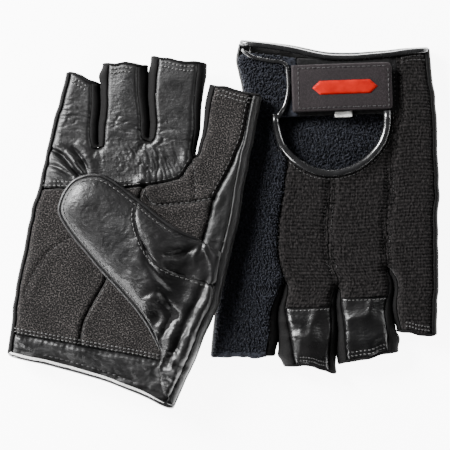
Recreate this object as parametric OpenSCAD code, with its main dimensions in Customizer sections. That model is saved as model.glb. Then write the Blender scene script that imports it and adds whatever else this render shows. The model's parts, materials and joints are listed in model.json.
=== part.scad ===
// A pair of short-finger sailing gloves, laid flat. Each glove is drawn once in the glove's own frame:
// +Y from the wrist hem to the finger ends, +X from the little finger to the index finger,
// z = 0 on the outside of the palm and z = thickness on the outside of the back.
// left() lays the left glove on its palm; right() mirrors the same pieces for the right glove, palm up.

/* [Glove] */
// Thickness of a glove lying flat, palm to back
thickness = 10; // [9:0.5:12]
// Thickness of the palm and back panels
panel = 1.4; // [1:0.1:1.6]
// Thickness of the strips between the fingers and along the sides
wall = 1.3; // [1:0.1:1.6]
// How far the fingers of the left glove fan out, as a share of their distance from the little-finger edge
left_fan = 0.13; // [0:0.01:0.14]
// The same for the right glove
right_fan = 0; // [0:0.01:0.02]
// Depth of the bound hem at the wrist
binding = 3; // [2:0.5:4]
// Depth of the turned hems at the finger ends
hem = 3; // [2:0.5:4]

/* [Closure strap] */
// Length of the strap from its sewn end to its free end
strap_length = 49; // [44:1:52]
// Width of the strap
strap_width = 24.5; // [20:0.5:25]
// Thickness of the strap's webbing
strap_thick = 1.3; // [1:0.1:1.6]
// Thickness of the hook tape under it
hook_thick = 0.7; // [0.5:0.1:0.9]

/* [Thumb] */
// Thickness of the thumb lying flat
thumb_thick = 4.8; // [4:0.1:5]
// Thickness of the thumb's leather
thumb_panel = 1.2; // [1:0.1:1.4]
// Width of the strip that joins the thumb's halves
thumb_wall = 1.4; // [1:0.1:2]

/* [Lay] */
// Turn of the right glove on the table
right_turn = -11.5; // [-14:0.5:-10]
// Turn of the left glove on the table
left_turn = 182; // [181:0.5:184]
// Slope of the right glove, whose index side rests on the left glove
right_tilt = 5.8; // [5.8:0.1:7]
// Height of the right glove's little-finger edge over the table
right_lift = 0.9; // [0.8:0.1:1.5]

/* [Hidden] */
$fn = 48;
air = 0.3;
curve_steps = 5;

// Where the two gloves lie, so that the pair's box is centred on the origin
right_place = [-113.1, -66.8];
left_place = [106.9, 92.3];
pair_centre = [-1.521, 2.225];

leather_black = [0.09, 0.09, 0.1];
suede_grey = [0.27, 0.25, 0.24];
terry_navy = [0.13, 0.14, 0.17];
rib_brown = [0.14, 0.12, 0.11];
gusset_black = [0.11, 0.11, 0.12];
strap_grey = [0.31, 0.28, 0.29];
trim_gloss = [0.05, 0.05, 0.06];
badge_red = [0.85, 0.2, 0.12];
label_white = [0.9, 0.9, 0.88];

// A smooth curve through its points (Catmull-Rom)
function curve(p, n = curve_steps) = [
    for (i = [0 : len(p) - 2], k = [0 : n - 1])
        let (a = p[max(i - 1, 0)], b = p[i], c = p[i + 1], d = p[min(i + 2, len(p) - 1)], t = k / n)
        0.5 * (2 * b + (c - a) * t + (2 * a - 5 * b + 4 * c - d) * t * t
            + (3 * b - a - 3 * c + d) * t * t * t),
    p[len(p) - 1]
];
function back_to_front(p) = [for (i = [len(p) - 1 : -1 : 0]) p[i]];
function chain(parts) = [for (q = parts, v = q) v];
// Fans points out: x grows with y from the knuckles to the finger ends
function fan(p, s) = [for (v = p) [v.x * (1 + s * max(0, min(1, (v.y - 45) / 110))), v.y]];
function unit(v) = v / norm(v);
// A line moved sideways, to the left of its direction
function beside(p, w) = [
    for (i = [0 : len(p) - 1])
        let (d = unit(p[min(i + 1, len(p) - 1)] - p[max(i - 1, 0)]))
        p[i] + w * [-d.y, d.x]
];
// Drops points closer than this to the one before, so that no edge is tiny
function apart(p, gap = 0.05) = [
    for (i = [0 : len(p) - 1]) if (i == 0 || norm(p[i] - p[i - 1]) > gap) p[i]
];

// Edges and seams, from the wrist towards the fingers, in the glove's frame before fanning
wrist_ulnar = [[0, binding], [17.8, binding - 0.1]];
wrist_middle = curve([[17.8, binding - 0.1], [40, binding - 1], [70, binding - 4.6]]);
wrist_radial = curve([[70, binding - 4.6], [80, binding - 6.6], [91.5, binding - 9]]);
wrist_line = concat(wrist_ulnar, wrist_middle, wrist_radial);
hem_line = curve([[0, 0], [40, -1], [66, -4], [91, -9]]);
band_line = [[-0.3, 11], [37.4, 12], [75, 13], [91, 12.3], [95.5, 12]];
ulnar_low = curve([[0, binding], [-0.3, 11]]);
ulnar_heel = curve([[-0.3, 11], [-1, 35], [-1.3, 60], [-1, 88]]);
ulnar_high = curve([[-1, 88], [0, 118], [1.2, 149.5 - hem]]);
radial_low = curve([[91.5, binding - 9], [95.5, 12]]);
radial_mid = curve([[95.5, 12], [99.5, 30], [103, 50], [104, 76], [104, 100], [104, 157 - hem]]);
slit_1_left = curve([[24.6, 115], [21.5, 130], [18.2, 146.5 - hem]]);
slit_1_right = curve([[26, 115], [22.6, 134], [19.4, 157 - hem]]);
slit_2_left = curve([[50.2, 124], [46.5, 140], [42.4, 161 - hem]]);
slit_2_right = curve([[51.6, 124], [47.8, 143], [44, 165 - hem]]);
slit_3_left = curve([[76.3, 121], [74.4, 140], [72.4, 167 - hem]]);
slit_3_right = curve([[77.7, 121], [77.6, 138], [77.4, 157 - hem]]);
palm_seam = curve([[-1, 88], [12.6, 89.6], [24, 91.2], [38, 94], [53, 99]]);
index_seam = curve([[53, 99], [69, 106], [74, 115], [76.3, 121]]);
heel_seam = curve([[53, 99], [60, 91], [75, 95], [90, 100]]);
side_seam_low = curve([[91, 12.3], [90, 45], [89.6, 78], [90, 100]]);
side_seam_high = curve([[90, 100], [96, 118], [99, 135], [99.5, 157 - hem]]);
pad_seam = curve([[37.4, 12], [36.7, 23], [39.5, 34], [44, 48], [50, 75], [53, 99]]);

// Back: the half-moon opening and the twin seams
vent = [53, 34];
vent_size = [29.5, 30];
rib_seam_mid = curve([[53.6, 64], [53, 92], [50.9, 124]]);
rib_seam_little = curve([[17.8, 33.5], [21.5, 44], [23.5, 80], [25.3, 115]]);
terry_seam = curve([[76, 52.8], [78, 85], [77, 121]]);
patch_ring_y = 128.5;
patch_middle_y = 133;

// Thumb outlines: root, edge, rounded tip and back to the root. The right thumb is folded over
// the palm, and the left one lies open beside it.
folded_root = [[79.5, 18], [89, 77]];
folded_edge = curve([[79.5, 18], [66.5, 34], [42, 52.6], [19, 71], [13.2, 83], [18, 94.5], [32, 99.5],
    [52, 91], [70, 82.6], [89, 77]]);
folded_seam = curve([[55, 89.8], [54.5, 82], [62, 69], [71, 62], [86.2, 59.6]]);
open_root = [[101.8, 22], [112.6, 76]];
open_edge = curve([[101.8, 22], [116, 48], [134, 75], [148, 96], [151, 109], [142, 117], [128, 109],
    [112.6, 76]]);
open_seam = curve([[130, 109.8], [125, 96], [117, 84], [108.6, 56]]);

module slab(points, z, h) translate([0, 0, z]) linear_extrude(h) polygon(apart(points));
module palm_slab(points, s) slab(fan(points, s), 0, panel);
module back_slab(points, s) slab(fan(points, s), thickness - panel, panel);
module wall_slab(line, s, w) {
    edge = fan(line, s);
    slab(concat(edge, back_to_front(beside(edge, w))), panel, thickness - 2 * panel);
}

// Puts the left glove on the table, palm down
module left()
    translate([left_place.x - pair_centre.x, left_place.y - pair_centre.y, 0])
        rotate([0, 0, left_turn]) children();
// Puts the right glove on the table, palm up, with its index side on the left glove
module right()
    translate([right_place.x - pair_centre.x, right_place.y - pair_centre.y, right_lift])
        rotate([0, 0, right_turn]) rotate([0, -right_tilt, 0])
            translate([0, 0, thickness]) mirror([0, 0, 1]) children();

module palm_leather(s) color(leather_black)
    palm_slab(chain([palm_seam, index_seam, slit_3_left, back_to_front(slit_2_right), slit_2_left,
        back_to_front(slit_1_right), slit_1_left, back_to_front(ulnar_high)]), s);

module index_palm_suede(s) color(suede_grey)
    palm_slab(chain([back_to_front(heel_seam), index_seam, slit_3_right,
        back_to_front(side_seam_high)]), s);

module heel_pad_outer(s) color(suede_grey)
    palm_slab(chain([[[-0.3, 11]], pad_seam, back_to_front(palm_seam), back_to_front(ulnar_heel)]), s);

module heel_pad_inner(s) color(suede_grey)
    palm_slab(chain([[[37.4, 12]], [[75, 13]], side_seam_low, back_to_front(heel_seam),
        back_to_front(pad_seam)]), s);

module side_leather(s) color(leather_black) {
    palm_slab(chain([radial_mid, back_to_front(side_seam_high), back_to_front(side_seam_low)]), s);
    wall_slab(chain([radial_low, radial_mid]), s, wall);
}

module cuff_band(s) color(leather_black)
    palm_slab(chain([wrist_line, radial_low, back_to_front(band_line), back_to_front(ulnar_low)]), s);

// Towelling inside the wrist, seen through the half-moon opening
module wrist_lining(s) color(terry_navy)
    slab([[17, 31], [89, 31], [90, 52], [80, 68], [60, 73], [38, 72], [22, 62]], panel, 0.8);

module cuff_elastic(s) color([0.2, 0.2, 0.2])
    slab([[18, 4], [66, 3], [68, 9.5], [18, 10.5]], panel, 0.8);

// The bound hem, a flat loop round the mouth of the glove
module cuff_binding(s) color(trim_gloss) difference() {
    slab(concat(hem_line, back_to_front(wrist_line)), 0, thickness);
    slab([[wall, -20], [91 - wall, -20], [91.5 - wall, 20], [wall, 20]], panel, thickness - 2 * panel);
}

module ulnar_gusset(s) color(gusset_black)
    wall_slab(chain([ulnar_low, ulnar_heel, ulnar_high]), s, -wall);

module gusset_little_ring(s) color(gusset_black)
    wall_slab(concat(back_to_front(slit_1_left), slit_1_right), s, -wall);
module gusset_ring_middle(s) color(gusset_black)
    wall_slab(concat(back_to_front(slit_2_left), slit_2_right), s, -wall);
module gusset_middle_index(s) color(gusset_black)
    wall_slab(concat(back_to_front(slit_3_left), slit_3_right), s, -wall);

// The half-moon opening, cut from each back panel that it reaches
module vent_cut() translate([0, 0, thickness - panel - 1]) linear_extrude(panel + 2)
    intersection() {
        translate(vent) scale([1, vent_size.y / vent_size.x]) circle(vent_size.x);
        translate([vent.x - 40, vent.y - 0.5]) square([80, 40]);
    }

module terry_panel(s) color(terry_navy) difference() {
    back_slab(chain([[[70, 34]], wrist_radial, radial_low, radial_mid,
        back_to_front(slit_3_right), back_to_front(terry_seam)]), s);
    vent_cut();
}
module rib_panel_middle(s) color(rib_brown) difference() {
    back_slab(chain([rib_seam_mid, [[51.6, 124]], [[49.9, 133]], [[75, patch_middle_y]],
        [[76.3, 121]], [[77, 121]], back_to_front(terry_seam)]), s);
    vent_cut();
}
module rib_panel_ring(s) color(rib_brown) difference() {
    back_slab(chain([rib_seam_little, [[26, 115]], [[23.6, patch_ring_y]], [[49.2, patch_ring_y]],
        [[50.2, 124]], back_to_front(rib_seam_mid), [[53.6, 40]]]), s);
    vent_cut();
}
module rib_panel_little(s) color(rib_brown)
    back_slab(chain([ulnar_low, ulnar_heel, ulnar_high, back_to_front(slit_1_left),
        back_to_front(rib_seam_little), back_to_front(wrist_ulnar)]), s);

module middle_patch(s) color(leather_black)
    back_slab([[49.9, patch_middle_y], [47.8, 143], slit_2_right[len(slit_2_right) - 1],
        slit_3_left[len(slit_3_left) - 1], [74.4, 140], [75, patch_middle_y]], s);
module ring_patch(s) color(leather_black)
    back_slab([[23.6, patch_ring_y], slit_1_right[len(slit_1_right) - 1],
        slit_2_left[len(slit_2_left) - 1], [46.5, 140], [49.2, patch_ring_y]], s);

// The turned hems: a strip across the palm side and the back of each finger end
module finger_hems(s) color(trim_gloss)
    for (tip = [[[1.2, 149.5], [18.2, 146.5]], [[19.4, 157], [42.4, 161]], [[44, 165], [72.4, 167]],
            [[77.4, 157], [104, 157]]], z = [0, thickness - panel])
        slab(fan([tip[0], tip[1], tip[1] - [0, hem], tip[0] - [0, hem]], s), z, panel);

module vent_piping(s) color(trim_gloss)
    translate([vent.x, vent.y, thickness - panel]) linear_extrude(panel) difference() {
        intersection() {
            scale([1, vent_size.y / vent_size.x]) circle(vent_size.x - 0.05);
            translate([-40, 1]) square([80, 40]);
        }
        scale([1, (vent_size.y - 1.8) / (vent_size.x - 1.8)]) circle(vent_size.x - 1.8);
    }

module loop_tape(s) color(strap_grey)
    slab(concat(wrist_middle, [[70, 33.4], [17.8, 33.4]]), thickness - panel, panel);

module woven_label(s) color(label_white)
    translate([42, 31.6, thickness]) linear_extrude(0.3) square([9, 2.4]);

strap_end = [70, 7];
strap_z = thickness + air;
strap_axis_z = strap_z + hook_thick + strap_thick / 2;
module strap_tab(s) color(strap_grey) {
    translate([strap_end.x - strap_length, strap_end.y, strap_z + hook_thick])
        linear_extrude(strap_thick) polygon([[0, 2], [2, 0], [strap_length, 0],
            [strap_length, strap_width], [2, strap_width], [0, strap_width - 2]]);
    translate([strap_end.x, strap_end.y, strap_axis_z]) rotate([-90, 0, 0])
        cylinder(h = strap_width, r = strap_thick / 2);
}
module hook_tape(s) color([0.12, 0.12, 0.12])
    translate([strap_end.x - strap_length + 2, strap_end.y + 2, strap_z]) linear_extrude(hook_thick)
        square([strap_length - 12, strap_width - 4]);
module strap_badge(s) color(badge_red)
    translate([strap_end.x - strap_length / 2, strap_end.y + strap_width / 2,
        strap_z + hook_thick + strap_thick]) linear_extrude(0.4)
        polygon([[-17, 0], [-13, -3.6], [13, -3.6], [17, 0], [13, 3.6], [-13, 3.6]]);

// The thumb, between z0 and z0 + thumb_thick, from its outline and the seam of its second panel
module thumb_half(points, z) slab(points, z, thumb_panel);
module thumb_root(root, z0) {
    along = root[1] - root[0];
    translate([root[0].x, root[0].y, z0 + thumb_thick / 2]) rotate([0, 90, atan2(along.y, along.x)])
        translate([0, 0, root_inset])
            cylinder(h = norm(along) - 2 * root_inset, r = thumb_thick / 2 - 0.2);
}

// How far the thumb's joint line sits in from the root edge
root_inset = 14;

// Shared spots on the thumb outlines where the second panel's seam starts
folded_split = 35;
open_split = 30;
left_thumb_z = air;
right_thumb_z = -air - 0.2 - thumb_thick;

function low_part(edge, n) = [for (i = [0 : n]) edge[i]];
function high_part(edge, n) = [for (i = [n : len(edge) - 1]) edge[i]];

module thumb_front(edge, seam, n, z0) color(leather_black)
    thumb_half(chain([low_part(edge, n), [for (i = [1 : len(seam) - 1]) seam[i]]]), z0);
module thumb_crotch_panel(edge, seam, n, z0) color(leather_black)
    thumb_half(chain([high_part(edge, n), [for (i = [len(seam) - 1 : -1 : 1]) seam[i]]]), z0);
module thumb_back(edge, root, z0) color(leather_black) union() {
    thumb_half(edge, z0 + thumb_thick - thumb_panel);
    difference() {
        thumb_root(root, z0);
        translate([-20, -20, z0 - 1]) cube([240, 240, 1 + thumb_panel]);
    }
}
module thumb_seam(edge, z0, inward) color(trim_gloss)
    slab(concat(edge, back_to_front(beside(edge, inward * thumb_wall))), z0 + thumb_panel,
        thumb_thick - 2 * thumb_panel);

left() palm_leather(left_fan);  // left_palm_leather
left() index_palm_suede(left_fan);  // left_index_palm_suede
left() wrist_lining(left_fan);  // left_wrist_lining
left() heel_pad_outer(left_fan);  // left_heel_pad_outer
left() heel_pad_inner(left_fan);  // left_heel_pad_inner
left() side_leather(left_fan);  // left_side_leather
left() cuff_band(left_fan);  // left_cuff_band
left() cuff_elastic(left_fan);  // left_cuff_elastic
left() cuff_binding(left_fan);  // left_cuff_binding
left() ulnar_gusset(left_fan);  // left_ulnar_gusset
left() gusset_little_ring(left_fan);  // left_gusset_little_ring
left() gusset_ring_middle(left_fan);  // left_gusset_ring_middle
left() gusset_middle_index(left_fan);  // left_gusset_middle_index
left() terry_panel(left_fan);  // left_terry_panel
left() rib_panel_middle(left_fan);  // left_rib_panel_middle
left() rib_panel_ring(left_fan);  // left_rib_panel_ring
left() rib_panel_little(left_fan);  // left_rib_panel_little
left() middle_patch(left_fan);  // left_middle_patch
left() ring_patch(left_fan);  // left_ring_patch
left() finger_hems(left_fan);  // left_finger_hems
left() vent_piping(left_fan);  // left_vent_piping
left() loop_tape(left_fan);  // left_loop_tape
left() woven_label(left_fan);  // left_woven_label
left() strap_tab(left_fan);  // left_strap_tab
left() hook_tape(left_fan);  // left_hook_tape
left() strap_badge(left_fan);  // left_strap_badge
left() thumb_front(open_edge, open_seam, open_split, left_thumb_z);  // left_thumb_front
left() thumb_back(open_edge, open_root, left_thumb_z);  // left_thumb_back
left() thumb_crotch_panel(open_edge, open_seam, open_split, left_thumb_z);  // left_thumb_crotch_panel
left() thumb_seam(open_edge, left_thumb_z, 1);  // left_thumb_seam
right() palm_leather(right_fan);  // right_palm_leather
right() index_palm_suede(right_fan);  // right_index_palm_suede
right() wrist_lining(right_fan);  // right_wrist_lining
right() heel_pad_outer(right_fan);  // right_heel_pad_outer
right() heel_pad_inner(right_fan);  // right_heel_pad_inner
right() side_leather(right_fan);  // right_side_leather
right() cuff_band(right_fan);  // right_cuff_band
right() cuff_elastic(right_fan);  // right_cuff_elastic
right() cuff_binding(right_fan);  // right_cuff_binding
right() ulnar_gusset(right_fan);  // right_ulnar_gusset
right() gusset_little_ring(right_fan);  // right_gusset_little_ring
right() gusset_ring_middle(right_fan);  // right_gusset_ring_middle
right() gusset_middle_index(right_fan);  // right_gusset_middle_index
right() terry_panel(right_fan);  // right_terry_panel
right() rib_panel_middle(right_fan);  // right_rib_panel_middle
right() rib_panel_ring(right_fan);  // right_rib_panel_ring
right() rib_panel_little(right_fan);  // right_rib_panel_little
right() middle_patch(right_fan);  // right_middle_patch
right() ring_patch(right_fan);  // right_ring_patch
right() finger_hems(right_fan);  // right_finger_hems
right() vent_piping(right_fan);  // right_vent_piping
right() loop_tape(right_fan);  // right_loop_tape
right() woven_label(right_fan);  // right_woven_label
right() strap_tab(right_fan);  // right_strap_tab
right() hook_tape(right_fan);  // right_hook_tape
right() strap_badge(right_fan);  // right_strap_badge
right() thumb_front(folded_edge, folded_seam, folded_split, right_thumb_z);  // right_thumb_front
right() thumb_back(folded_edge, folded_root, right_thumb_z);  // right_thumb_back
right() thumb_crotch_panel(folded_edge, folded_seam, folded_split, right_thumb_z);  // right_thumb_crotch_panel
right() thumb_seam(folded_edge, right_thumb_z, -1);  // right_thumb_seam
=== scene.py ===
"""Sailing gloves: the soft visual model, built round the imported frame.

Each glove is made in its own frame, in millimetres: +x from the little finger to the index finger,
+y from the wrist to the finger ends, z = 0 on the outside of the palm and z = THICK on the outside
of the back. Hand.place() carries those points into the shared frame in metres.
"""
import json
import math

import bpy
import numpy as np
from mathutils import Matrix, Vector
from mathutils.geometry import delaunay_2d_cdt


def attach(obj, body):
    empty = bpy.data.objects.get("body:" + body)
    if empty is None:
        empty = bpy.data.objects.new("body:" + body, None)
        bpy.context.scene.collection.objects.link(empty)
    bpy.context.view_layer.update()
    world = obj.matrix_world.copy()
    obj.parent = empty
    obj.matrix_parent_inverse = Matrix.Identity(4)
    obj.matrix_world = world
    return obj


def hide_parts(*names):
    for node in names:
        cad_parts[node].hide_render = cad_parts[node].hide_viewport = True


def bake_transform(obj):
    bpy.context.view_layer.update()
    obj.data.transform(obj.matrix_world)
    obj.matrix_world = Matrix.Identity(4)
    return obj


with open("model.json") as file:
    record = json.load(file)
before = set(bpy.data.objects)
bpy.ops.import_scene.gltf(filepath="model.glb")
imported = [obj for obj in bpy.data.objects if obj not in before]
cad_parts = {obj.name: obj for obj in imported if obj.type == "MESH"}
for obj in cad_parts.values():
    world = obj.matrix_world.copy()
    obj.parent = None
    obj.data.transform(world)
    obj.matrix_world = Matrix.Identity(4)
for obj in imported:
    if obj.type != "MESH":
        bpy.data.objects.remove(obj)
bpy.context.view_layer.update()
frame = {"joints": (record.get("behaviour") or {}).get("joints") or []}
joints = {j["name"]: j for j in frame["joints"]}

# ---------------------------------------------------------------- sizes, in millimetres
THICK = 10.0            # a glove lying flat, palm to back
EDGE_R = 6.0            # how far in from a closed edge the skin is rounded
HALF = 4.7              # half the thickness of the soft shell
CLOTH = 1.1             # thickness of a palm or back panel
WALL = 0.9              # thickness of a gusset and of a thumb panel
RIBBON_STEPS = 9        # points across each half of a strip that wraps an edge
STRAP_END = (70.0, 7.0) # the strap's sewn end and its corner nearest the wrist hem
STRAP_SIZE = (49.0, 24.5)
STRAP_Z = THICK + 1.6
VENT = (53.0, 34.0)
VENT_SIZE = (29.5, 30.0)
FAN = {"left": 0.13, "right": 0.0}


# ---------------------------------------------------------------- curves
def curve(points, steps=8):
    """A smooth curve through its points (Catmull-Rom)."""
    p = [np.array(q, float) for q in points]
    out = []
    for i in range(len(p) - 1):
        a, b, c, d = p[max(i - 1, 0)], p[i], p[i + 1], p[min(i + 2, len(p) - 1)]
        for t in np.arange(steps) / steps:
            out.append(0.5 * (2 * b + (c - a) * t + (2 * a - 5 * b + 4 * c - d) * t**2
                              + (3 * b - a - 3 * c + d) * t**3))
    out.append(p[-1])
    return np.array(out)


def join(*paths):
    """Paths end to end, without the points that repeat."""
    p = np.vstack([np.atleast_2d(q) for q in paths])
    keep = np.r_[True, np.linalg.norm(np.diff(p, axis=0), axis=1) > 0.02]
    return p[keep]


def along(path):
    return np.r_[0, np.cumsum(np.linalg.norm(np.diff(path, axis=0), axis=1))]


def evenly(path, step):
    """The same path with its points a step apart."""
    s = along(path)
    at = np.linspace(0, s[-1], max(2, int(round(s[-1] / step)) + 1))
    return np.stack([np.interp(at, s, path[:, k]) for k in range(path.shape[1])], axis=1)


def tangents(path):
    t = np.gradient(path, axis=0)
    return t / np.maximum(np.linalg.norm(t, axis=1, keepdims=True), 1e-9)


def beside(path, w):
    """A path moved to the left of its direction, by one width or by one for each point."""
    t = tangents(path)
    return path + np.stack([-t[:, 1], t[:, 0]], axis=1) * np.reshape(w, (-1, 1))


def distance(points, path):
    """Each point's distance to a path, and how far along the path the nearest place is."""
    a, b = path[:-1], path[1:]
    ab = b - a
    length2 = np.maximum((ab**2).sum(1), 1e-12)
    best = np.full(len(points), 1e9)
    where = np.zeros(len(points))
    s = along(path)
    for i in range(len(a)):
        rel = points - a[i]
        t = np.clip(rel @ ab[i] / length2[i], 0, 1)
        d = np.hypot(rel[:, 0] - t * ab[i, 0], rel[:, 1] - t * ab[i, 1])
        near = d < best
        best[near] = d[near]
        where[near] = s[i] + t[near] * math.sqrt(length2[i])
    return best, where


def inside(points, outline):
    """True for the points inside a closed outline (even-odd)."""
    x, y = points[:, 0], points[:, 1]
    odd = np.zeros(len(points), bool)
    for (x0, y0), (x1, y1) in zip(outline, np.roll(outline, -1, axis=0)):
        cross = (y0 > y) != (y1 > y)
        if cross.any():
            odd ^= cross & (x < (x1 - x0) * (y - y0) / (y1 - y0 + 1e-12) + x0)
    return odd


def noise(x, y, seed=0.0):
    """Smooth value noise from 0 to 1."""
    xi, yi = np.floor(x), np.floor(y)
    u, v = x - xi, y - yi
    u, v = u * u * (3 - 2 * u), v * v * (3 - 2 * v)

    def at(i, j):
        h = np.sin((xi + i) * 127.1 + (yi + j) * 311.7 + seed * 74.7) * 43758.5453
        return h - np.floor(h)

    low = at(0, 0) * (1 - u) + at(1, 0) * u
    high = at(0, 1) * (1 - u) + at(1, 1) * u
    return low * (1 - v) + high * v


def ridge(n):
    """Turns noise into soft creases: 1 on the crest lines, 0 between."""
    return 1 - np.abs(2 * n - 1)


def bell(d, width):
    return np.exp(-((d / width) ** 2))


def smooth(x, low, high):
    t = np.clip((x - low) / (high - low), 0, 1)
    return t * t * (3 - 2 * t)


# ---------------------------------------------------------------- edges and seams of a glove
HEM = curve([(0, 0), (40, -1), (66, -4), (91, -9)])
ULNAR = curve([(0, 0), (-0.3, 11), (-1, 35), (-1.3, 60), (-1, 88), (0, 118), (1.2, 149.5)])
RADIAL = curve([(91, -9), (95.5, 12), (99.5, 30), (103, 50), (104, 76), (104, 100), (104, 157)])
SLIT_LEFT = [curve([(19.6, 146.5), (22.3, 130), (25.0, 116)]),
             curve([(43.0, 161), (46.9, 140), (50.5, 125)]),
             curve([(73.2, 167), (74.9, 140), (76.2, 122)])]
SLIT_RIGHT = [curve([(25.5, 116), (22.4, 134), (19.0, 157)]),
              curve([(51.1, 125), (47.3, 143), (43.5, 165)]),
              curve([(77.8, 122), (77.3, 138), (76.6, 157)])]
CROTCH = [(25.2, 114.6), (50.8, 123.6), (77.0, 120.4)]
SLITS = [join(SLIT_LEFT[k], CROTCH[k], SLIT_RIGHT[k]) for k in range(3)]
CLOSED = [ULNAR, RADIAL] + SLITS

PALM_SEAM = curve([(-1, 88), (12.6, 89.6), (24, 91.2), (38, 94), (53, 99)])
INDEX_SEAM = curve([(53, 99), (69, 106), (74, 113), (76.4, 119)])
HEEL_SEAM = curve([(53, 99), (60, 91), (75, 95), (90, 100)])
INDEX_LINE = curve([(75.5, 119), (78, 112), (81, 97.3)])
SIDE_LOW = curve([(91, 12.3), (90, 45), (89.6, 78), (90, 100)])
SIDE_HIGH = curve([(90, 100), (96, 118), (99, 135), (99.5, 157)])
PAD_SEAM = curve([(37.4, 12), (36.7, 23), (39.5, 34), (44, 48), (50, 75), (53, 99)])
QUILT = curve([(4.5, 30), (6, 40), (11, 54), (18, 62), (28, 68)])
BAND = curve([(-0.3, 11), (37.4, 12), (75, 13), (91, 12.3), (95.5, 12)])
RIB_MID = curve([(53.6, 64), (53, 92), (50.9, 123)])
RIB_LITTLE = curve([(17.8, 0), (17.8, 33.5), (21.5, 44), (23.5, 80), (25.2, 113.6)])
TERRY_SEAM = curve([(76, 52.8), (78, 85), (77, 119.8)])
PATCH_RING_Y, PATCH_MIDDLE_Y = 128.5, 133.0


def vent_arc(low, high, grow=0.0):
    """Part of the half-moon's edge, by angle in degrees."""
    a = np.radians(np.linspace(low, high, 24))
    return np.stack([VENT[0] + (VENT_SIZE[0] + grow) * np.cos(a),
                     VENT[1] + (VENT_SIZE[1] + grow) * np.sin(a)], axis=1)


# How wide each gusset shows beside the finger: at the left finger's end, the crotch, the right one's end
FLANGES = {-1: [(4.0, 3.0, 4.2), (4.5, 3.0, 4.8), (4.4, 1.4, 3.6)],
           1: [(2.0, 1.2, 5.0), (4.0, 1.2, 4.0), (6.0, 1.2, 4.6)]}


def flange(k, side):
    """The line where a gusset meets the panels: the slit's edge moved into the fingers."""
    path = evenly(SLITS[k], 1.1)
    s = along(path)
    crotch = s[np.argmin(np.linalg.norm(path - np.array(CROTCH[k]), axis=1))]
    root = 3.7 if side < 0 and k < 2 else 1.7
    w = np.interp(s, [0, crotch - 4, crotch, crotch + 4, s[-1]],
                  [FLANGES[side][k][0], root, FLANGES[side][k][1], root, FLANGES[side][k][2]])
    middle = int(np.argmin(np.abs(s - crotch)))
    return path, w, beside(path, -w), middle


def flange_left(k, side):
    """Up the left finger's side of a slit, from the crotch to the finger's end."""
    _, _, line, middle = flange(k, side)
    return line[: middle + 1][::-1]


def flange_right(k, side):
    _, _, line, middle = flange(k, side)
    return line[middle:]


# ---------------------------------------------------------------- the skin of a glove
def half_thickness(p):
    """Half the glove's thickness over its plan: thin at the wrist, fuller over the palm."""
    wrist = smooth(p[:, 1], -8, 32)
    crown = bell(p[:, 1] - 62, 50) * bell(p[:, 0] - 50, 48)
    return HALF * (0.72 + 0.28 * wrist) + 0.9 * crown


def folds(p, centre, count, reach, seed):
    """Creases that fan out from a point."""
    rel = p - np.array(centre)
    r = np.linalg.norm(rel, axis=1)
    angle = np.arctan2(rel[:, 1], rel[:, 0])
    wander = 1.2 * noise(r / 5, angle * 2, seed)
    return (ridge(noise(angle * count / 2 + wander, r / 14, seed)) - 0.5) * bell(r, reach) * smooth(r, 0, 4)


def seam(p, path, depth, width=1.1, pucker=0.12, puff=0.35):
    """A sewn line: a groove with a soft roll each side and small puckers at the stitches."""
    d, s = distance(p, path)
    return (-depth * bell(d, width) + puff * bell(d - 3.2, 2.2)
            + pucker * np.cos(2 * np.pi * s / 2.9) * bell(d, 2.6))


def creases(u, v, seed, width=0.06):
    """Thin sharp valleys that wander and fork: 1 on a crease, 0 between."""
    n = (noise(u, v, seed) + 0.5 * noise(2.1 * u, 2.1 * v, seed + 0.5)) / 1.5
    return bell(n - 0.5, width) + 0.6 * bell(n - 0.68, width * 0.7)


def deep_fold(p, path, depth, width=1.2):
    """A fold: a narrow valley between two soft rolls, fading out at both its ends."""
    d, s = distance(p, path)
    length = along(path)[-1]
    fade = np.sin(np.pi * np.clip(s / length, 0, 1)) ** 0.5
    return depth * fade * (0.6 * bell(d - 2.6 * width, 1.9 * width) - bell(d, width))


BUNCHED = [curve([(-2, 110), (7, 107), (15, 101), (23, 95)]), curve([(-1, 101), (8, 100), (17, 96)]),
           curve([(12, 112), (19, 106), (24, 98)])]
THUMB_FOLDS = [curve([(97, 62), (92.5, 46), (88, 26), (82, 7)]), curve([(84, 40), (79, 25), (80, 9)]),
               curve([(72, 50), (81, 41), (87, 34)]), curve([(91, 77), (83, 70), (72, 67)]),
               curve([(60, 74), (66, 62), (80, 50)])]


def knuckle_lines(p):
    """Fine creases where the palm leather bends: across the finger roots and in arcs round the hollow."""
    x, y = p[:, 0], p[:, 1]
    across = creases(x / 13 + 0.4 * noise(x / 6, y / 9, 7), y / 3.2, 4) * bell(y - 127, 9)
    rel = p - np.array([26.0, 96.0])
    r, angle = np.linalg.norm(rel, axis=1), np.arctan2(rel[:, 1], rel[:, 0])
    arcs = creases(angle * 3.2, r / 3.0, 5) * bell(x - 56, 17) * bell(y - 112, 11)
    slant = creases((x + y) / 3.4, (x - y) / 15, 6, 0.05) * bell(x - 44, 20) * bell(y - 112, 9)
    return 0.42 * across + 0.55 * arcs + 0.30 * slant


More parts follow.
